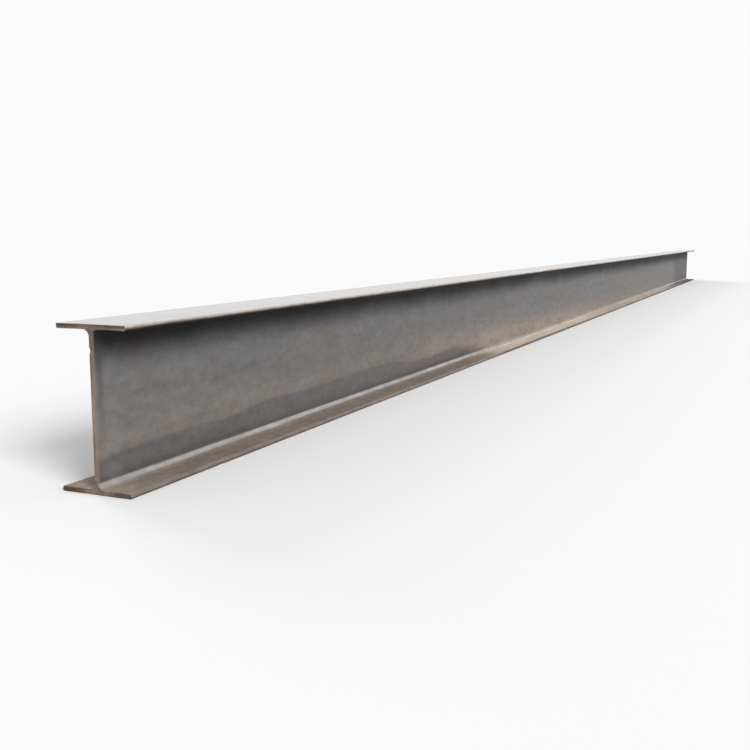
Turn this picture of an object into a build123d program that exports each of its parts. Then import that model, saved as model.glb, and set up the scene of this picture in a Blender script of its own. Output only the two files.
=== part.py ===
from build123d import *
import os

# One length of hot-rolled steel I-beam with parallel flanges, standing on its lower flange.
# Millimetres: X runs along the beam, Y across the flanges and Z up.
# The origin is on the underside, midway along the beam and straight below the web.

# Rolled section
section_depth = 300.0
flange_width = 150.0
web_thickness = 6.5
flange_thickness = 9.0
root_radius = 13.0
toe_outer_radius = 1.5
toe_inner_radius = 3.0

# Cut length, and the burr dressed off the edges of the two sawn ends
beam_length = 9000.0
end_edge_break = 0.5

# The section is drawn about its own centre, half the depth above the underside.
section_plane = Plane(origin=(0, 0, section_depth / 2), x_dir=(0, 1, 0), z_dir=(1, 0, 0))
flange_spacing = section_depth - flange_thickness


def across(corner):
    """Distance of a corner of the section from the middle of the web."""
    return abs(corner.X)


def above(corner):
    """Distance of a corner of the section from mid-depth."""
    return abs(corner.Y)


with BuildPart() as i_beam:
    with BuildSketch(section_plane) as section:
        Rectangle(web_thickness, section_depth)
        with GridLocations(0, flange_spacing, 1, 2):
            Rectangle(flange_width, flange_thickness)
        # The four corners nearest the web are the roots, and the outermost are the toes.
        fillet(section.vertices().group_by(across)[0], root_radius)
        fillet(section.vertices().group_by(above)[-1], toe_outer_radius)
        fillet(section.vertices().group_by(across)[-1].group_by(above)[0], toe_inner_radius)
    extrude(amount=beam_length / 2, both=True)
    sawn_ends = i_beam.faces().filter_by(Axis.X)
    chamfer(sawn_ends.edges(), end_edge_break)

i_beam.part.label = "i_beam"

os.makedirs("parts", exist_ok=True)
export_step(i_beam.part, "parts/i_beam.step")
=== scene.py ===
import math
from functools import cached_property
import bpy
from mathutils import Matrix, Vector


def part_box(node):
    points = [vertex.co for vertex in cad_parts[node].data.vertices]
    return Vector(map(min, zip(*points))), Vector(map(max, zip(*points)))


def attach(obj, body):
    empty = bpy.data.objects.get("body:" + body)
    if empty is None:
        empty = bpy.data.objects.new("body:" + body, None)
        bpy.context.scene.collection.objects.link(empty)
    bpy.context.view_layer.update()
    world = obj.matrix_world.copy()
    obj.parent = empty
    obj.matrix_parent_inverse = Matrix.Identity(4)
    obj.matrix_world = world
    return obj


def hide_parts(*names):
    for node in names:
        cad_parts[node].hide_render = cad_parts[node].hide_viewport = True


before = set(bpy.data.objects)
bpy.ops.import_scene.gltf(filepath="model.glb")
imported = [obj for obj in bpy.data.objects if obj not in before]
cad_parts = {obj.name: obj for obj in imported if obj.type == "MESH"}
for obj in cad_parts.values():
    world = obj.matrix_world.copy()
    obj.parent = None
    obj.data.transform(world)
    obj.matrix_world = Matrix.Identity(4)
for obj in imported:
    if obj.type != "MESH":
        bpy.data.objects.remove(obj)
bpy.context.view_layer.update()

from types import SimpleNamespace

import bpy
import numpy as np
from mathutils import Vector
from mathutils.geometry import delaunay_2d_cdt

scene = bpy.context.scene

# One length of rolled steel I-beam as it lay in a yard, with its wear, rust and dust.
# Metres, as in the solid: X runs along the beam, Y across the flanges and Z up from the underside.
low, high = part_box("i_beam")
LENGTH = high.x - low.x
WIDTH = high.y - low.y
DEPTH = high.z - low.z
HALF_WIDTH = WIDTH / 2
HALF_DEPTH = DEPTH / 2

# Rolled section
WEB = 0.0065
FLANGE = 0.009
ROOT = 0.013
TOE_OUTER = 0.0015
TOE_INNER = 0.003

# Mesh steps on the flats and arcs of a quarter of the section
FACE_STEPS = 7
TOE_OUTER_STEPS = 4
TOE_FACE_STEPS = 2
TOE_INNER_STEPS = 5
ROOT_STEPS = 10
WEB_STEPS = 11

# The beam is meshed in strips along its length, so that its surface unrolls into a near square.
STRIPS = 3
STATIONS_PER_STRIP = 100
MAP_GAP = 0.02
SHARP_ANGLE = math.radians(38)

# Sawn ends: distances of extra mesh rings from the cut, the broken edge, and the ragged cut face
END_RINGS = (0.0006, 0.0015, 0.003, 0.006, 0.012, 0.02)
END_EDGE = 0.0005
RAGGED_DEPTH = 0.0005
RAGGED_REACH = 0.004

# Notch in the near end of the web: height above the underside, half height, depth and reach along X
NOTCH_AT = 0.254
NOTCH_HALF = 0.0042
NOTCH_DEPTH = 0.003
NOTCH_REACH = 0.006
NOTCH_LEVELS = (-1.6, -1, -0.5, 0, 0.5, 1, 1.6)

# Knocks in the flange toes: place along the beam, side, flange (1 upper, 0 lower), half length, depth
NICKS = (
    (-3.86, -1, 1, 0.014, 0.0030),
    (-4.22, -1, 0, 0.010, 0.0016),
    (-3.47, -1, 0, 0.018, 0.0020),
    (-2.31, -1, 1, 0.012, 0.0014),
    (-1.18, -1, 0, 0.020, 0.0022),
    (0.64, -1, 1, 0.016, 0.0018),
    (2.47, -1, 0, 0.015, 0.0020),
    (3.72, -1, 1, 0.012, 0.0016),
    (-3.95, 1, 0, 0.014, 0.0018),
    (-2.12, 1, 1, 0.018, 0.0022),
    (-0.35, 1, 0, 0.012, 0.0014),
    (1.56, 1, 1, 0.014, 0.0018),
    (3.08, 1, 0, 0.020, 0.0024),
    (4.18, 1, 1, 0.010, 0.0014),
)
NICK_STATIONS = (-1, -0.6, -0.3, 0, 0.3, 0.6, 1)

# Height and pitch along the beam of each uneven line in the dust and in the rolled stock
BED_FINE = (0.0004, 0.11)
BED_BROAD = (0.0008, 0.4)
WEB_BELLY = (0.0008, 0.9)
TIP_BEND = (0.0007, 1.1)
TOE_BROAD = (0.0006, 0.5)
TOE_FINE = (0.0005, 0.07)

# The upper flange's tips bend down, and the lower one's bend up by half as much.
TIP_WAYS = ((1, -1.0), (0, 0.5))

# The bed of dust lies lower than a level, and thickens from one distance from the web to another.
BED_BELOW = 0.03
BED_THIN_AT = 0.055
BED_THICK_AT = 0.012
BED_LEAST = 0.25

# Distances from the middle of the web: its own limit, and where bent tips, wavy toes and dents start
WEB_WITHIN = 0.004
TIP_FROM = 0.02
TOE_FROM = 0.055
NICK_FROM = 0.066

SEED = 41
rng = np.random.default_rng(SEED)


def arc(centre_y, centre_z, radius, start, end, steps):
    """Points on an arc of the section, from one angle in degrees to another, both ends included."""
    angles = np.radians(np.linspace(start, end, steps + 1))
    return np.column_stack((centre_y + radius * np.cos(angles), centre_z + radius * np.sin(angles)))


def flat(start, end, steps):
    """Points along a flat of the section, without its two ends."""
    return np.linspace(start, end, steps + 1)[1:-1]


def ramp(value, start, end):
    """0 at start and before it, 1 at end and past it, with a smooth rise between."""
    share = np.clip((value - start) / (end - start), 0, 1)
    return share * share * (3 - 2 * share)


def wander(along, height, pitch):
    """A smooth random line of values from 0 to height, with a new one at each pitch along the beam."""
    knots = rng.random(int(LENGTH / pitch) + 3)
    place = (along - low.x) / pitch
    before = np.floor(place).astype(int)
    share = ramp(place - before, 0, 1)
    return height * (knots[before] * (1 - share) + knots[before + 1] * share)


def section_outline():
    """The closed outline of the section, from the middle of the top over +Y, down and back up on -Y."""
    half_web = WEB / 2
    inner = HALF_DEPTH - FLANGE
    root_end = inner - ROOT
    root_at = half_web + ROOT
    notch = NOTCH_AT - HALF_DEPTH + NOTCH_HALF * np.array(NOTCH_LEVELS)
    even = np.linspace(0, root_end, WEB_STEPS + 1)[:-1]
    levels = np.unique(np.concatenate((even, notch)))[::-1]
    quarter = np.vstack((
        [(0, HALF_DEPTH)],
        flat((0, HALF_DEPTH), (HALF_WIDTH - TOE_OUTER, HALF_DEPTH), FACE_STEPS),
        arc(HALF_WIDTH - TOE_OUTER, HALF_DEPTH - TOE_OUTER, TOE_OUTER, 90, 0, TOE_OUTER_STEPS),
        flat((HALF_WIDTH, HALF_DEPTH - TOE_OUTER), (HALF_WIDTH, inner + TOE_INNER), TOE_FACE_STEPS),
        arc(HALF_WIDTH - TOE_INNER, inner + TOE_INNER, TOE_INNER, 0, -90, TOE_INNER_STEPS),
        flat((HALF_WIDTH - TOE_INNER, inner), (root_at, inner), FACE_STEPS),
        arc(root_at, root_end, ROOT, 90, 180, ROOT_STEPS),
        np.column_stack((np.full(len(levels), half_web), levels)),
    ))
    side = np.vstack((quarter, (quarter * (1, -1))[-2::-1]))
    outline = np.vstack((side, (side * (-1, 1))[-2:0:-1]))
    return outline + (0, HALF_DEPTH)


def beam_stations():
    """Places of the mesh rings along the beam, closer together at the two ends and at each knock."""
    even = np.linspace(low.x, high.x, STRIPS * STATIONS_PER_STRIP + 1)
    ends = np.array(END_RINGS)
    knocks = [at + half * np.array(NICK_STATIONS) for at, _, _, half, _ in NICKS]
    return np.unique(np.round(np.concatenate((even, low.x + ends, high.x - ends, *knocks)), 5))


def outward(outline):
    """The direction out of the section at each point of its outline."""
    along = np.roll(outline, -1, 0) - np.roll(outline, 1, 0)
    along /= np.linalg.norm(along, axis=1)[:, None]
    return np.column_stack((-along[:, 1], along[:, 0]))


def on_flange(outline, side, upper):
    """Which points of the outline are on one side of the web, in its upper (1) or lower (0) half."""
    return (np.sign(outline[:, 0]) == side) & ((outline[:, 1] > HALF_DEPTH) == upper)


def lay_dust(rings, stations, outline):
    """Lays dust on the lower flange, thickest in the root."""
    across, level = outline.T
    out = outward(outline)
    bed = np.clip(out[:, 1], 0, 1) * (level < BED_BELOW)
    bank = BED_LEAST + ramp(np.abs(across), BED_THIN_AT, BED_THICK_AT)
    for side in (-1, 1):
        depth = wander(stations, *BED_FINE) + wander(stations, *BED_BROAD)
        share = bed * bank * (across * side > 0)
        rings[:, :, 1:] += depth[:, None, None] * (share[:, None] * out)


def roll_off_true(rings, stations, outline):
    """Bellies the web, bends the flange tips and makes the toes wavy, by about a millimetre at most."""
    reach = np.abs(outline[:, 0])
    y, z = rings[:, :, 1], rings[:, :, 2]
    belly = wander(stations, *WEB_BELLY) - WEB_BELLY[0] / 2
    y += belly[:, None] * np.sin(np.pi * np.clip(z / DEPTH, 0, 1)) * (reach < WEB_WITHIN)
    tip = ramp(reach, TIP_FROM, HALF_WIDTH)
    toe = ramp(reach, TOE_FROM, HALF_WIDTH)
    for side in (-1, 1):
        for upper, way in TIP_WAYS:
            here = on_flange(outline, side, upper)
            z += wander(stations, *TIP_BEND)[:, None] * tip * here * way
            edge = wander(stations, *TOE_BROAD) + wander(stations, *TOE_FINE)
            y -= edge[:, None] * side * toe * here


def knock_toes(rings, stations, outline):
    """Dents the toes of the flanges at the knocks."""
    toe = ramp(np.abs(outline[:, 0]), NICK_FROM, HALF_WIDTH)
    for at, side, upper, half, depth in NICKS:
        dent = depth * np.cos(np.clip((stations - at) / half, -1, 1) * np.pi / 2) ** 2
        rings[:, :, 1] -= dent[:, None] * side * toe * on_flange(outline, side, upper)


def saw_ends(rings, stations, outline):
    """Breaks the edges of both ends, leaves their faces ragged and notches the web at the near one."""
    out = outward(outline)
    cut = rng.random(len(outline))
    cut = (cut + np.roll(cut, 1) + np.roll(cut, -1)) / 3
    for end, inward in ((low.x, 1), (high.x, -1)):
        away = np.abs(stations - end)[:, None]
        inset = END_EDGE * np.clip(1 - away / END_RINGS[0], 0, 1)
        rings[:, :, 1:] -= inset[:, :, None] * out
        rings[:, :, 0] += inward * np.exp(-away / RAGGED_REACH) * RAGGED_DEPTH * cut
    on_web = np.abs(outline[:, 0]) < WEB_WITHIN
    notch = np.exp(-(((outline[:, 1] - NOTCH_AT) / NOTCH_HALF) ** 4)) * on_web
    rings[:, :, 0] += np.exp((low.x - stations) / NOTCH_REACH)[:, None] * NOTCH_DEPTH * notch


def shaped_rings(stations, outline):
    """The rings of the beam as the rolls, the saw and the yard left it, within the solid's box."""
    rings = np.empty((len(stations), len(outline), 3))
    rings[:, :, 0] = stations[:, None]
    rings[:, :, 1:] = outline
    for change in (lay_dust, roll_off_true, knock_toes, saw_ends):
        change(rings, stations, outline)
    return rings


def end_cap(ring, first, facing):
    """Triangles over an end ring whose vertices start at first, facing along X one way or the other."""
    points = [Vector(point[1:]) for point in ring]
    border = [(i, (i + 1) % len(points)) for i in range(len(points))]
    inside_only, tolerance = 1, 1e-7
    _, _, faces, origins, _, _ = delaunay_2d_cdt(points, border, [], inside_only, tolerance)
    return [tuple(first + origins[corner][0] for corner in face[::facing]) for face in faces]


def unrolled(stations, outline, rings, caps):
    """Where each face corner lies on the unrolled sheet: strips side by side, and the ends above them."""
    steps = np.linalg.norm(np.roll(outline, -1, 0) - outline, axis=1)
    around = np.concatenate(([0], np.cumsum(steps)))
    strip_width = around[-1] + MAP_GAP
    strip_length = LENGTH / STRIPS
    middles = (stations[:-1] + stations[1:]) / 2
    strip = np.minimum((middles - low.x) // strip_length, STRIPS - 1)
    left = MAP_GAP + strip * strip_width
    along = stations - low.x
    u = left[:, None, None] + np.stack((around[:-1], around[:-1], around[1:], around[1:]), 1)
    v = np.stack((along[:-1], along[1:], along[1:], along[:-1]), 1)
    v = v - (strip * strip_length)[:, None] + MAP_GAP
    sides_map = np.stack((u, np.broadcast_to(v[:, None, :], u.shape)), 3).reshape(-1, 2)

    corners = np.array(caps).ravel()
    _, across, level = rings.reshape(-1, 3)[corners].T
    shelf = MAP_GAP + HALF_WIDTH + (WIDTH + MAP_GAP) * (corners >= len(outline))
    caps_map = np.column_stack((shelf + across, strip_length + 2 * MAP_GAP + level))
    return np.vstack((sides_map, caps_map)) / (STRIPS * strip_width + MAP_GAP)


def beam_mesh():
    """The whole beam as one closed mesh with its map, smooth but for sharp edges and flat ends."""
    outline = section_outline()
    stations = beam_stations()
    rings = shaped_rings(stations, outline)
    number = np.arange(len(stations) * len(outline)).reshape(len(stations), len(outline))
    beside = np.roll(number, -1, 1)
    sides = np.stack((number[:-1], number[1:], beside[1:], beside[:-1]), 2).reshape(-1, 4)
    caps = end_cap(rings[0], 0, -1) + end_cap(rings[-1], number[-1, 0], 1)
    mesh = bpy.data.meshes.new("rolled_beam")
    mesh.from_pydata(rings.reshape(-1, 3), [], sides.tolist() + caps)
    layer = mesh.uv_layers.new(name="OFBake")
    sheet = unrolled(stations, outline, rings, caps)
    layer.uv.foreach_set("vector", sheet.astype(np.float32).ravel())
    mesh.polygons.foreach_set("use_smooth", np.arange(len(mesh.polygons)) < len(sides))
    mesh.set_sharp_from_angle(angle=SHARP_ANGLE)
    return mesh


def rgb(red, green, blue):
    """A colour given as it shows, 0 to 255, as the linear values that a shader takes."""
    shown = np.array((red, green, blue)) / 255
    linear = np.where(shown <= 0.04045, shown / 12.92, ((shown + 0.055) / 1.055) ** 2.4)
    return (*linear.tolist(), 1.0)


class Field:
    """A number that varies over the surface and can be added, subtracted and multiplied."""

    def __init__(self, graph, socket):
        self.graph = graph
        self.socket = socket

    def __add__(self, other):
        return self.graph.math("ADD", self, other)

    def __sub__(self, other):
        return self.graph.math("SUBTRACT", self, other)

    def __rsub__(self, other):
        return self.graph.math("SUBTRACT", other, self)

    def __mul__(self, other):
        return self.graph.math("MULTIPLY", self, other)

    def __neg__(self):
        return self * -1.0

    def __abs__(self):
        return self.graph.math("ABSOLUTE", self)

    __radd__ = __add__
    __rmul__ = __mul__


# Raw noise mostly keeps to this range, which is spread to -1 and 1.
NOISE_RANGE = (0.22, 0.78)


class Graph:
    """Lays out the nodes of a shader tree."""

    def __init__(self, tree):
        self.tree = tree

    @cached_property
    def places(self):
        """The node that gives places and directions on the surface."""
        return self.tree.nodes.new("ShaderNodeTexCoord")

    def add(self, kind, *values, **settings):
        """Adds a node with its first inputs fed in order, and returns its first output."""
        node = self.tree.nodes.new(kind)
        for name, value in settings.items():
            setattr(node, name, value)
        for socket, value in zip(node.inputs, values):
            self.feed(socket, value)
        return Field(self, node.outputs[0])

    def feed(self, socket, value):
        """Links a field to a socket, or sets it to a plain value. None leaves it as it is."""
        if isinstance(value, Field):
            self.tree.links.new(value.socket, socket)
        elif value is not None:
            socket.default_value = value

    def math(self, operation, *values):
        """The result of one operation on fields and plain numbers."""
        return self.add("ShaderNodeMath", *values, operation=operation)

    def split(self, name):
        """The three parts of one of the surface's own vectors."""
        parts = self.tree.nodes.new("ShaderNodeSeparateXYZ")
        self.tree.links.new(self.places.outputs[name], parts.inputs[0])
        return [Field(self, socket) for socket in parts.outputs]

    def step(self, value, start, end):
        """0 up to start and 1 past end, with a smooth rise between. Start may be the larger."""
        return self.add("ShaderNodeMapRange", value, start, end, interpolation_type="SMOOTHSTEP")

    def spread(self, pitch, seed, turn):
        """Places on the surface counted in pitches along X, Y and Z, turned about Y by degrees."""
        place = Field(self, self.places.outputs["Object"])
        if turn:
            settings = {"rotation_type": "Y_AXIS"}
            place = self.add("ShaderNodeVectorRotate", place, None, None, math.radians(turn), **settings)
        counts = [1 / p for p in pitch]
        shift = (seed, seed, seed)
        return self.add("ShaderNodeVectorMath", place, counts, shift, operation="MULTIPLY_ADD")

    def noise(self, pitch, seed, detail, roughness, turn=0.0):
        """Noise about 0, from -1 to 1, with its pitch in metres along X, Y and Z."""
        where = self.spread(pitch, seed, turn)
        found = self.add("ShaderNodeTexNoise", where, None, 1.0, detail, roughness)
        return self.add("ShaderNodeMapRange", found, *NOISE_RANGE, -1.0, 1.0)

    def curve(self, value, tallest, points):
        """A smooth line through points, given as places in order and heights of up to tallest."""
        start, end = points[0][0], points[-1][0]
        share = self.add("ShaderNodeMapRange", value, start, end)
        line = self.add("ShaderNodeFloatCurve", None, share)
        bends = line.socket.node.mapping.curves[0].points
        for place, height in points[1:-1]:
            bends.new((place - start) / (end - start), height / tallest)
        for bend, (place, height) in zip(bends, points):
            bend.location = ((place - start) / (end - start), height / tallest)
        line.socket.node.mapping.update()
        return line * tallest

    def mix(self, share, first, second):
        """The first colour where share is 0 and the second where it is 1."""
        node = self.tree.nodes.new("ShaderNodeMix")
        node.data_type = "RGBA"
        for index, value in ((0, share), (6, first), (7, second)):
            self.feed(node.inputs[index], value)
        return Field(self, node.outputs[2])

    def shade(self, colour, amount):
        """A colour made lighter or darker by a factor."""
        node = self.tree.nodes.new("ShaderNodeVectorMath")
        node.operation = "SCALE"
        self.feed(node.inputs[0], colour)
        self.feed(node.inputs["Scale"], amount)
        return Field(self, node.outputs[0])


# Mill scale
SCALE_COOL = rgb(104, 103, 104)
SCALE_WARM = rgb(113, 110, 106)
SCALE_BLUE = rgb(90, 95, 101)
SCALE_BARE = rgb(128, 124, 119)
SCALE_PIT = rgb(76, 68, 63)
SCALE_FLAKED = rgb(134, 125, 117)
PIN_RUST = rgb(98, 80, 69)
SCRATCH = rgb(146, 143, 140)
SLING_RUB = rgb(70, 66, 64)

# Painted shade under the upper flange, and brown water marks on the web below it
UNDER_FLANGE_SHADE = rgb(27, 27, 28)
UNDER_FLANGE_SHADE_BROWN = rgb(37, 30, 26)
UNDER_FLANGE_SHADE_DEEP = rgb(14, 12, 11)
WATER_MARK = rgb(92, 80, 72)

# Film rust, the washed band below the tide line and the dark crease above the root
FILM_DARK = rgb(146, 133, 126)
FILM_PALE = rgb(158, 144, 136)
WASHED_LOW = rgb(91, 87, 84)
WASHED_HIGH = rgb(98, 97, 97)
TIDE_RUST = rgb(120, 105, 96)
CREASE = rgb(74, 70, 67)

# The lower root, pale partly from wear and partly as a painted highlight, and the dust on the lower
# flange
ROOT_WORN_AND_SHEEN = rgb(168, 167, 167)
ROOT_SANDY = rgb(153, 141, 132)
DUST_BROWN = rgb(130, 117, 106)
DUST_SANDY = rgb(224, 209, 194)
DUST_DULL = rgb(148, 134, 123)
DUST_GREY = rgb(134, 134, 137)
DUST_RUBBED = rgb(128, 128, 130)
RAIN_MARK = rgb(92, 82, 74)

# The top face
TOP_DULL = rgb(147, 145, 142)
TOP_PALE = rgb(178, 172, 165)
TOP_RUBBED = rgb(122, 123, 125)
TOP_EDGE = rgb(149, 139, 130)
TOP_DRAGGED = rgb(106, 104, 103)
TOP_RAIN_MARK = rgb(128, 118, 110)

# The toes of the flanges, with painted shade towards their bottom edges
TOE_LOW_SHADE = rgb(64, 57, 52)
TOE_LOW_DULL = rgb(122, 112, 105)
TOE_LOW_WORN = rgb(136, 126, 119)
TOE_LOW_FAR_SHADE = rgb(96, 88, 82)
TOE_HIGH_SHADE = rgb(40, 35, 31)
TOE_HIGH_DULL = rgb(164, 151, 140)
TOE_HIGH_PALE = rgb(206, 194, 183)

# The sawn ends and the web beside them
SAWN_DARK = rgb(129, 115, 105)
SAWN_PALE = rgb(150, 134, 122)
BURNT_DARK = rgb(70, 60, 53)
BURNT_PALE = rgb(100, 86, 77)
END_RIM = rgb(140, 125, 115)
END_LINE = rgb(62, 58, 56)
END_BAND = rgb(128, 131, 135)

# Where masks rise from 0 to 1 on the section: by slope, by distance from the web's middle and by height
END_SLOPE = (0.55, 0.8)
FRONT_SIDE = (0.001, -0.001)
WEB_REACH = (0.0075, 0.0042)
WEB_HEIGHT = (HALF_DEPTH - 0.011, HALF_DEPTH - 0.016)
TOE_SLOPE = (0.35, 0.75)
TOE_REACH = (0.055, 0.060)
TOP_SLOPE = (0.6, 0.9)
TOP_HEIGHT = (DEPTH - 0.006, DEPTH - 0.004)
LEDGE_SLOPE = (0.72, 0.97)
LOW_HEIGHT = (0.030, 0.022)
ROOT_STEEP = (0.06, 0.42)
ROOT_FLAT = (0.985, 0.86)
ROOT_REACH = (0.03, 0.02)
UNDER_SLOPE = (-0.55, -0.92)
UNDER_HEIGHT = (0.15, 0.20)

# Where changes come in along the beam
SANDY_ALONG = (-2.62, -2.0)
GREY_ALONG = (2.5, 3.3)
FAR_SHADOW_ALONG = (3.30, 3.66)
FAR_SHADOW_DEEPEST_ALONG = (4.05, 4.42)
DUST_THIN_ALONG = (-0.9, 0.3)
SHADE_LOWER_ALONG = (-3.4, -2.9)
SHADE_LOWEST_ALONG = (-1.5, 3.0)

# Heights from which the painted shade under the upper flange thickens, where it is deepest and where
# water ran
SHADE_HEIGHT = (0.200, 0.278)
SHADE_DEEPEST_HEIGHT = (0.258, 0.288)
WATER_HEIGHT = (0.07, 0.19)

# Film rust along the beam: its upper limit and its soft edge in metres, and its share of the colour
FILM_TOP = ((-4.5, 0.115), (-3.3, 0.112), (-2.3, 0.098), (-1.4, 0.078), (0.8, 0.060), (4.5, 0.040))
FILM_TALLEST = 0.2
FILM_EDGE = 0.045
FILM_SHARE = (
    (-4.5, 0.2), (-3.2, 0.2), (-2.4, 0.76), (-0.9, 0.76), (0.6, 0.6), (2.2, 0.36), (4.5, 0.1),
)

# The tide line: distance from the near end and height
TIDE_LINE = (
    (0.0, 0.058), (0.3, 0.070), (0.4, 0.066), (0.6, 0.080), (0.75, 0.075), (1.25, 0.078),
    (1.6, 0.056), (1.85, 0.062), (2.0, 0.052), (2.15, 0.030), (2.4, 0.0),
)
TIDE_TALLEST = 0.1

# Roughness of dust and rust, and how much smoother scale, the worn root and the top are
ROUGH = 0.85
SMOOTHER_SCALE = 0.25
SMOOTHER_ROOT = 0.25
SMOOTHER_TOP = 0.60

# Fine relief, in metres, and how much of it is worn off the top
RELIEF_GRAIN = 0.00005
RELIEF_LINE = 0.00004
RELIEF_FLECK = 0.00011
RELIEF_PATCH = 0.0001
RELIEF_TEETH = 0.00012
RELIEF_STRENGTH = 0.8
TOP_WORN = 0.6

# Sheen: bare metal in the scale and on the top, a smooth film on the top, and less of it where shade is
# painted under the upper flange
METAL_SCALE = 0.18
METAL_TOP = 0.45
TOP_FILM = 0.5
TOP_FILM_ROUGH = 0.15
SHEEN = 0.5
SHADE_DULLS = 0.35


def surface_fields(g):
    """The places, noises and masks that the layers of the finish share."""
    f = SimpleNamespace()
    f.x, f.y, f.z = g.split("Object")
    normal_x, normal_y, normal_z = g.split("Normal")
    f.reach = abs(f.y)
    f.from_near = f.x - low.x
    f.to_end = LENGTH / 2 - abs(f.x)

    # Noises: pitch, seed, detail and roughness.
    f.cloud = g.noise((0.42, 0.17, 0.17), 3.0, 4.0, 0.55)
    f.patch = g.noise((0.12, 0.05, 0.05), 11.0, 4.0, 0.6)
    f.smear = g.noise((0.09, 0.026, 0.026), 17.0, 5.0, 0.6)
    f.dust = g.noise((0.034, 0.030, 0.030), 61.0, 5.0, 0.62)
    f.fleck = g.noise((0.022, 0.016, 0.016), 83.0, 6.0, 0.68)
    f.grain = g.noise((0.0045, 0.004, 0.004), 67.0, 3.0, 0.6)
    f.streak = g.noise((1.6, 0.014, 0.014), 23.0, 3.0, 0.6)
    f.line = g.noise((0.45, 0.004, 0.004), 37.0, 2.0, 0.5)
    f.drips = g.noise((0.13, 0.05, 0.70), 29.0, 3.0, 0.5)
    band = g.noise((1.3, 0.045, 0.045), 19.0, 2.0, 0.5)
    runs = g.noise((0.11, 0.05, 0.24), 51.0, 3.0, 0.5)
    puddle = g.noise((0.19, 0.06, 0.06), 101.0, 3.0, 0.5)
    pin = g.noise((0.011, 0.008, 0.008), 71.0, 2.0, 0.5)
    scratch = g.noise((0.30, 0.0022, 0.0022), 43.0, 2.0, 0.4)

    # Where on the section: end faces, web, toes, top, lower ledge, lower root and the upper underside.
    low_down = g.step(f.z, *LOW_HEIGHT)
    f.front = g.step(f.y, *FRONT_SIDE)
    f.end_face = g.step(abs(normal_x), *END_SLOPE)
    f.on_web = g.step(f.reach, *WEB_REACH) * g.step(abs(f.z - HALF_DEPTH), *WEB_HEIGHT)
    f.toe = g.step(abs(normal_y), *TOE_SLOPE) * g.step(f.reach, *TOE_REACH) * (1.0 - f.end_face)
    f.on_top = g.step(normal_z, *TOP_SLOPE) * g.step(f.z, *TOP_HEIGHT)
    f.ledge = g.step(normal_z, *LEDGE_SLOPE) * low_down
    curved = g.step(normal_z, *ROOT_STEEP) * g.step(normal_z, *ROOT_FLAT)
    f.root = curved * low_down * g.step(f.reach, *ROOT_REACH)
    under = g.step(normal_z, *UNDER_SLOPE) * g.step(f.z, *UNDER_HEIGHT)
    # Painted shade under the upper flange covers all but the top, and only partly the flange's underside.
    f.sheltered = (1.0 - f.on_top) * (1.0 - under * 0.6)

    # Where along the beam: sandy from a quarter of the way on, grey near the far end, and painted shadow
    # over the far end.
    f.sandy = g.step(f.x + f.cloud * 0.15, *SANDY_ALONG)
    f.grey_far = g.step(f.x + f.cloud * 0.3, *GREY_ALONG)
    f.dark_far = g.step(f.x + f.cloud * 0.10, *FAR_SHADOW_ALONG) * 0.44 + g.step(f.x, *FAR_SHADOW_DEEPEST_ALONG) * 0.10

    # How light or dark the steel and what lies on it is, as a factor, less the painted shadow near the
    # far end.
    fine = f.grain * 0.07 + f.fleck * 0.23 + f.smear * 0.16 + f.line * 0.01
    broad = f.cloud * 0.05 + f.patch * 0.10 + f.streak * 0.02
    broad = broad + (runs * 0.03 + band * 0.09) * f.on_web
    f.level = fine + broad + 1.05 - f.dark_far

    # Marks: pin rust, scratches, rubbed places, and where rain stood and left a rim.
    f.pin_rust = g.step(pin + f.patch * 0.25, 0.74, 0.90)
    f.scratched = g.step(scratch + f.patch * 0.15, 0.66, 0.84)
    f.rubbed = g.step(f.fleck * 0.8 + f.patch * 0.5 + f.dust * 0.4, 0.35, 0.8)
    f.rain_rim = g.step(abs(puddle - 0.12), 0.07, 0.01)
    f.rain_stood = g.step(puddle, 0.10, 0.18)

    # The painted shade under the upper flange reaches lower down the web further along the beam.
    soot_edge = f.z + runs * 0.006 + f.drips * 0.004 + f.cloud * 0.008
    soot_edge = soot_edge + g.step(f.x, *SHADE_LOWER_ALONG) * 0.006
    soot_edge = soot_edge + g.step(f.x, *SHADE_LOWEST_ALONG) * 0.012
    f.soot = g.step(soot_edge, *SHADE_HEIGHT) * f.sheltered

    # Film rust lies lower further along the beam, and is thickest about a third of the way along.
    film_top = g.curve(f.x, FILM_TALLEST, FILM_TOP)
    film_share = g.curve(f.x + f.cloud * 0.3, 1.0, FILM_SHARE)
    film_edge = f.z + f.cloud * 0.018 + f.smear * 0.010
    f.film = g.step(film_edge, film_top + FILM_EDGE, film_top - FILM_EDGE) * film_share
    return f


def mill_scale(g, f):
    """Grey scale from the rolls: cooler up the web, warmer lower down, mottled, flaked and scratched."""
    flake = g.noise((0.075, 0.045, 0.045), 89.0, 6.0, 0.62)
    rub = g.noise((0.16, 0.0030, 0.0030), 57.0, 2.0, 0.4, turn=34.0)
    warm = g.step(f.cloud * 0.5 + f.patch * 0.3 - f.z * 5.0 + 0.95, -0.5, 0.7)
    blue = g.step(f.cloud * 0.7 + f.patch * 0.5 + f.streak * 0.2, 0.40, 0.9)
    bare = g.step(f.fleck + f.patch * 0.35, 0.62, 0.8)
    pits = g.step(f.grain * 0.25 - f.fleck, 0.66, 0.86)
    colour = g.mix(warm, SCALE_COOL, SCALE_WARM)
    colour = g.mix(blue * 0.3, colour, SCALE_BLUE)
    colour = g.mix(bare * 0.25, colour, SCALE_BARE)
    colour = g.mix(pits * 0.4, colour, SCALE_PIT)
    colour = g.shade(colour, f.level)
    colour = g.mix(g.step(flake + f.cloud * 0.3, 0.30, 0.36) * 0.22, colour, SCALE_FLAKED)
    colour = g.mix(f.pin_rust * 0.45, colour, PIN_RUST)
    colour = g.mix(f.scratched * 0.22, colour, SCRATCH)
    return g.mix(g.step(rub + f.cloud * 0.35, 0.86, 1.0) * 0.25, colour, SLING_RUB)


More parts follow.
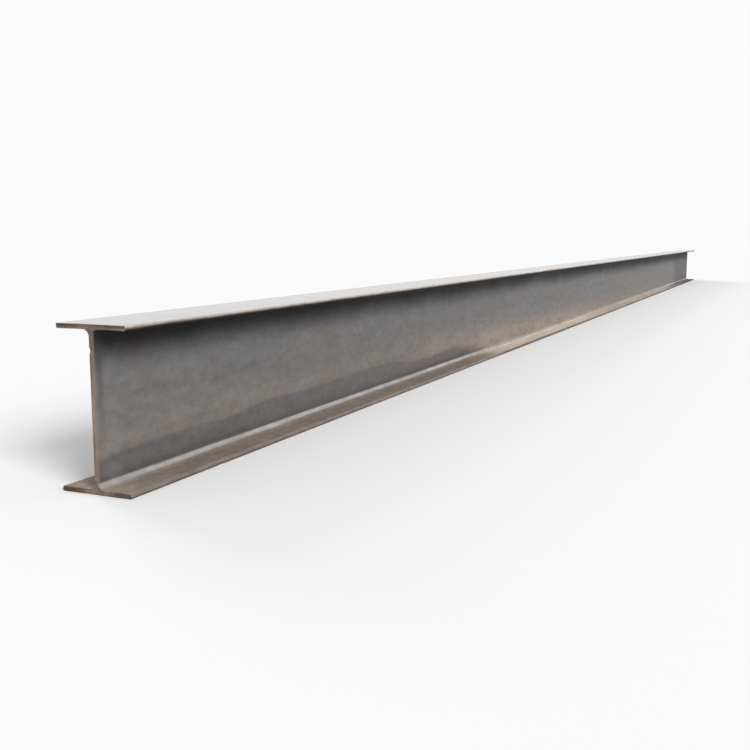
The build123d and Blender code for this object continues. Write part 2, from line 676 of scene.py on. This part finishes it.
def sooty(g, f, colour):
    """Painted shade under the upper flange, brown in places and deepest just under it, and brown marks of
    water below.
    """
    brown = g.step(f.cloud + f.patch * 0.5, -0.4, 0.6)
    # Painted shade under the upper flange, then a deeper painted shade right under it.
    colour = g.mix(f.soot * 0.95, colour, g.mix(brown, UNDER_FLANGE_SHADE, UNDER_FLANGE_SHADE_BROWN))
    colour = g.mix(g.step(f.z, *SHADE_DEEPEST_HEIGHT) * f.sheltered * 0.6, colour, UNDER_FLANGE_SHADE_DEEP)
    ran = g.step(f.drips + f.cloud * 0.3, 0.2, 0.9) * f.on_web
    ran = ran * g.step(f.z + f.patch * 0.02, *WATER_HEIGHT)
    return g.mix(ran * (1.0 - f.soot) * 0.22, colour, WATER_MARK)


def film_rusted(g, f, colour):
    """Film rust on the lower part of the web."""
    pale = g.step(f.cloud + f.smear * 0.5, -0.6, 0.7)
    return g.mix(f.film, colour, g.shade(g.mix(pale, FILM_DARK, FILM_PALE), f.level))


def washed(g, f, colour):
    """The tide line on the near front of the web: grey below it, rust along it, dark above the root."""
    tide = g.curve(f.from_near, TIDE_TALLEST, TIDE_LINE)
    above = f.z - tide + f.patch * 0.0035 + f.fleck * 0.0012
    soft = g.step(f.from_near, 1.6, 2.1) * 0.012 + 0.003
    on_front = f.front * f.on_web
    below = g.step(above, soft, -soft) * on_front * g.step(f.from_near + f.cloud * 0.1, 2.45, 1.85)
    washed_colour = g.mix(g.step(f.z, 0.02, 0.07), WASHED_LOW, WASHED_HIGH)
    colour = g.mix(below * 0.9, colour, g.shade(washed_colour, f.level))
    brink = g.step(abs(above - 0.003), 0.010, 0.001) * on_front * g.step(f.from_near, 2.2, 1.7)
    colour = g.mix(brink * 0.3, colour, TIDE_RUST)
    crease = g.step(f.z + f.patch * 0.003, 0.035, 0.024) * f.on_web * (1.0 - f.sandy)
    return g.mix(crease * 0.45, colour, CREASE)


def lower_root(g, f, colour):
    """The lower root, pale at first from wear and a painted highlight, and sandy further along."""
    root_colour = g.mix(f.sandy * (1.0 - f.grey_far), ROOT_WORN_AND_SHEEN, ROOT_SANDY)
    root_colour = g.shade(root_colour, f.level + f.patch * 0.06)
    return g.mix(f.root * (f.patch * 0.12 + f.smear * 0.10 + 0.84), colour, root_colour)


def dusty_ledge(g, f, colour):
    """Dust on the lower flange: brown at first, then sandy and grey, rubbed thin and marked by rain."""
    dust_colour = g.mix(f.sandy, DUST_BROWN, DUST_SANDY)
    dull = g.step(f.dust * 0.7 + f.fleck * 0.5, -0.2, 0.8)
    dust_colour = g.mix(dull * 0.4, dust_colour, DUST_DULL)
    dust_colour = g.mix(f.grey_far * 0.8, dust_colour, DUST_GREY)
    dust_colour = g.mix(f.rubbed * 0.4, dust_colour, DUST_RUBBED)
    edge = g.step(f.reach + f.dust * 0.002, 0.064, 0.072) * (0.14 - f.sandy * 0.36)
    beside_root = g.step(f.reach + f.dust * 0.002, 0.032, 0.018) * (1.0 - f.sandy) * 0.16
    by_end = g.step(f.to_end + f.patch * 0.02, 0.16, 0.01) * 0.34
    # The dust takes back part of the painted shadow near the far end.
    thinner = g.step(f.x + f.cloud * 0.3, *DUST_THIN_ALONG) * 0.25 - f.dark_far * 0.35
    dust_level = f.level + f.grain * 0.06 + f.dust * 0.06 + edge + beside_root + by_end - thinner
    colour = g.mix(f.ledge, colour, g.shade(dust_colour, dust_level))
    return g.mix(f.ledge * (f.rain_rim * 0.16 + f.rain_stood * 0.06), colour, RAIN_MARK)


def top_face(g, f, colour):
    """Smooth scale under thin dust on the top face, scratched, and with the rims that dried rain left."""
    pale = g.step(f.cloud * 0.4 + f.streak * 0.25 + f.dust * 0.4 + f.fleck * 0.3, -0.8, 0.6)
    top_colour = g.mix(pale, TOP_DULL, TOP_PALE)
    top_colour = g.mix(f.rubbed * 0.26, top_colour, TOP_RUBBED)
    top_colour = g.mix(f.rain_rim * 0.18 + f.rain_stood * 0.10, top_colour, TOP_RAIN_MARK)
    edge = g.step(f.reach + f.patch * 0.004 + f.dust * 0.004, 0.056, 0.070)
    top_colour = g.mix(edge * 0.6, top_colour, TOP_EDGE)
    top_colour = g.mix(f.pin_rust * 0.5, top_colour, PIN_RUST)
    top_colour = g.mix(f.scratched * 0.4, top_colour, TOP_DRAGGED)
    fine = f.grain * 0.05 + f.fleck * 0.08 + f.smear * 0.04 + f.line * 0.01
    broad = f.cloud * 0.04 + f.streak * 0.02 + g.step(f.from_near, 1.3, 0.5) * 0.10
    by_end = g.step(f.to_end, 0.03, 0.005) * 0.12
    return g.mix(f.on_top, colour, g.shade(top_colour, fine + broad + 1.0 - by_end))


def flange_toes(g, f, colour):
    """The toes, each with painted shade at its bottom edge, the lower one more further along: brown grey
    below and pale on the upper flange.
    """
    worn = f.patch + f.streak * 0.4
    low_colour = g.mix(g.step(worn, -0.5, 0.6), TOE_LOW_DULL, TOE_LOW_WORN)
    low_colour = g.mix(f.sandy * 0.75, low_colour, TOE_LOW_FAR_SHADE)
    low_colour = g.mix(g.step(f.z + f.patch * 0.001, 0.0, 0.0055), TOE_LOW_SHADE, low_colour)
    high_colour = g.mix(g.step(worn, 0.0, 0.9), TOE_HIGH_PALE, TOE_HIGH_DULL)
    high_lit = g.step(f.z + f.patch * 0.001, DEPTH - 0.008, DEPTH - 0.0005)
    high_colour = g.mix(high_lit, TOE_HIGH_SHADE, high_colour)
    toe_colour = g.mix(g.step(f.z, 0.10, 0.20), low_colour, high_colour)
    return g.mix(f.toe * 0.92, colour, g.shade(toe_colour, f.level + f.fleck * 0.06))


def beside_ends(g, f, colour):
    """A tan rim, a dark line and a pale band on the web beside each sawn end."""
    rim = g.step(f.to_end + f.patch * 0.002, 0.008, 0.004) * f.on_web * (1.0 - f.end_face)
    colour = g.mix(rim * 0.6, colour, END_RIM)
    dark = g.step(abs(f.to_end - 0.018 + f.patch * 0.003), 0.011, 0.002) * f.on_web
    colour = g.mix(dark * g.step(f.z, 0.05, 0.22) * 0.4, colour, END_LINE)
    pale = g.step(abs(f.to_end - 0.050 + f.patch * 0.008), 0.034, 0.006) * f.on_web * (1.0 - f.soot)
    return g.mix(pale * g.step(f.patch + f.fleck * 0.4, -0.7, 0.5) * 0.3, colour, END_BAND)


def sawn_ends(g, f, colour):
    """Tan sawn faces, alike at both ends, with flanges burnt brown towards their tips."""
    mottle = f.fleck * 0.5 + f.patch
    # The sawn faces leave out the painted shadow near the far end.
    even_level = f.level + f.dark_far
    saw_level = even_level - g.step(f.z, 0.16, 0.24) * 0.3 - g.step(f.z, 0.10, 0.04) * 0.15
    saw_level = saw_level + g.step(f.z, DEPTH - 0.014, DEPTH - 0.008) * 0.15
    saw_colour = g.shade(g.mix(g.step(mottle, -0.9, 0.8), SAWN_DARK, SAWN_PALE), saw_level)
    low_share = g.step(f.reach, 0.015, 0.05) * 0.75 + 0.25
    high_share = g.step(f.reach, 0.0, 0.065) * 0.65 + 0.2
    burnt_low = g.step(f.z + f.patch * 0.002, 0.011, 0.007) * low_share
    burnt_high = g.step(f.z, DEPTH - 0.0065, DEPTH - 0.0040) * high_share
    burnt_colour = g.mix(g.step(mottle, -0.9, 0.9), BURNT_DARK, BURNT_PALE)
    burnt_colour = g.shade(burnt_colour, even_level - burnt_low * 0.2)
    saw_colour = g.mix((burnt_high + burnt_low) * 0.95, saw_colour, burnt_colour)
    return g.mix(f.end_face, colour, saw_colour)


LAYERS = (
    sooty, film_rusted, washed, lower_root, dusty_ledge, top_face, flange_toes, beside_ends, sawn_ends,
)


def rolled_steel():
    """Rolled steel as it comes from the yard: mill scale, film rust, dust and wear, with painted shade
    and a painted highlight.
    """
    material = bpy.data.materials.new("rolled_steel_as_stored")
    material.use_nodes = True
    g = Graph(material.node_tree)
    f = surface_fields(g)
    colour = mill_scale(g, f)
    for layer in LAYERS:
        colour = layer(g, f, colour)

    scale = (1.0 - f.film) * (1.0 - f.ledge) * (1.0 - f.on_top) * (1.0 - f.end_face) * (1.0 - f.toe)
    rough = ROUGH - scale * SMOOTHER_SCALE - f.root * SMOOTHER_ROOT - f.on_top * SMOOTHER_TOP
    rough = rough + f.cloud * 0.05 + f.patch * 0.05 + f.grain * 0.05
    # No bare-metal sheen in the painted shade under the upper flange.
    metal = scale * (1.0 - f.soot) * METAL_SCALE + f.on_top * METAL_TOP

    teeth = g.noise((0.5, 0.012, 0.0011), 97.0, 2.0, 0.5) * f.end_face
    relief = f.grain * RELIEF_GRAIN + f.line * scale * RELIEF_LINE
    relief = relief + f.fleck * RELIEF_FLECK + f.patch * RELIEF_PATCH
    relief = relief * (1.0 - f.on_top * TOP_WORN) + teeth * RELIEF_TEETH
    bump = g.tree.nodes.new("ShaderNodeBump")
    bump.inputs["Strength"].default_value = RELIEF_STRENGTH
    bump.inputs["Distance"].default_value = 1.0
    g.feed(bump.inputs["Height"], relief)

    shader = g.tree.nodes["Principled BSDF"]
    g.feed(shader.inputs["Base Color"], colour)
    g.feed(shader.inputs["Roughness"], rough)
    g.feed(shader.inputs["Metallic"], metal)
    # Less sheen in the painted shade under the upper flange, so that it stays dark.
    g.feed(shader.inputs["Specular IOR Level"], SHEEN - f.soot * SHADE_DULLS)
    g.feed(shader.inputs["Coat Weight"], f.on_top * TOP_FILM)
    shader.inputs["Coat Roughness"].default_value = TOP_FILM_ROUGH
    g.tree.links.new(bump.outputs["Normal"], shader.inputs["Normal"])
    return material


def put(name, data):
    """A new object in the scene."""
    thing = bpy.data.objects.new(name, data)
    scene.collection.objects.link(thing)
    return thing


beam = put("rolled_beam", beam_mesh())
beam.data.materials.append(rolled_steel())
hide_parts("i_beam")
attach(beam, "root")

# Studio: a pale floor that runs out into a background of the same brightness, and light from the sky
PALE = 0.957
SKY = 0.45
FLOOR_BOUNCE = 0.35
FLOOR_HALF = 20.0
FLOOR_DROP = 0.0004
FADE = (6.0, 16.0)

# Two soft suns: strength, elevation and bearing in degrees, which turns from the front to the near end
SUNS = ((2.6, 30, 32), (0.7, 25, 210))
SUN_ANGLE = math.radians(26)

# The camera stands off the near end at a little over the beam's height, and looks along its front.
CAMERA_AT = (-5.79, -1.11, 0.45)
CAMERA_TOWARDS = (0.9035, 0.4035, -0.1442)
SENSOR_WIDTH = 36.0
LENS = 46.0
FARTHEST = 100.0


def grey(level):
    """A plain grey, as a shader takes it."""
    return (level, level, level, 1)


def seen(g):
    """1 for what the camera sees, straight or in a reflection, and 0 for light on the beam."""
    path = g.tree.nodes.new("ShaderNodeLightPath")
    names = ("Is Camera Ray", "Is Glossy Ray", "Is Transmission Ray")
    straight, mirrored, through = (Field(g, path.outputs[name]) for name in names)
    return g.math("MAXIMUM", g.math("MAXIMUM", straight, mirrored), through)


def floor_material():
    """Pale matt floor that fades out far from the beam."""
    material = bpy.data.materials.new("studio_floor")
    material.use_nodes = True
    g = Graph(material.node_tree)
    nodes = g.tree.nodes
    shader = nodes["Principled BSDF"]
    shader.inputs["Roughness"].default_value = 1.0
    shader.inputs["Specular IOR Level"].default_value = 0.0
    g.feed(shader.inputs["Base Color"], g.mix(seen(g), grey(FLOOR_BOUNCE), grey(1.0)))
    x, y, _ = g.split("Object")
    beyond = g.math("MAXIMUM", abs(x) - LENGTH / 2, 0.0)
    distance = g.math("SQRT", beyond * beyond + y * y)
    clear = nodes.new("ShaderNodeBsdfTransparent")
    blend = nodes.new("ShaderNodeMixShader")
    g.feed(blend.inputs[0], g.step(distance, *FADE))
    g.tree.links.new(shader.outputs[0], blend.inputs[1])
    g.tree.links.new(clear.outputs[0], blend.inputs[2])
    g.tree.links.new(blend.outputs[0], nodes["Material Output"].inputs["Surface"])
    return material


def studio_floor():
    """A square floor just under the beam."""
    mesh = bpy.data.meshes.new("studio_floor")
    corners = [(FLOOR_HALF * a, FLOOR_HALF * b, 0) for a, b in ((-1, -1), (1, -1), (1, 1), (-1, 1))]
    mesh.from_pydata(corners, [], [(0, 1, 2, 3)])
    mesh.materials.append(floor_material())
    return mesh


def studio_sky():
    """Even light from all round, behind a pale background."""
    world = bpy.data.worlds.new("studio_sky")
    world.use_nodes = True
    g = Graph(world.node_tree)
    g.feed(world.node_tree.nodes["Background"].inputs["Color"], g.mix(seen(g), grey(SKY), grey(PALE)))
    return world


def add_sun(strength, elevation, bearing):
    """A soft sun, left out of reflections so that the smooth top doesn't flare."""
    sun_data = bpy.data.lights.new("soft_sun", "SUN")
    sun_data.energy = strength
    sun_data.angle = SUN_ANGLE
    sun = put("soft_sun", sun_data)
    sun.visible_glossy = False
    up, turn = math.radians(elevation), math.radians(bearing)
    to_sun = Vector((-math.sin(turn) * math.cos(up), -math.cos(turn) * math.cos(up), math.sin(up)))
    sun.rotation_euler = to_sun.to_track_quat("Z", "Y").to_euler()


floor = put("studio_floor", studio_floor())
floor.location.z = low.z - FLOOR_DROP
scene.world = studio_sky()
for sun_values in SUNS:
    add_sun(*sun_values)

camera_data = bpy.data.cameras.new("camera")
camera_data.sensor_width = SENSOR_WIDTH
camera_data.lens = LENS
camera_data.clip_end = FARTHEST
camera = put("camera", camera_data)
camera.location = CAMERA_AT
camera.rotation_euler = Vector(CAMERA_TOWARDS).to_track_quat("-Z", "Y").to_euler()
scene.camera = camera
scene.view_settings.view_transform = "Standard"
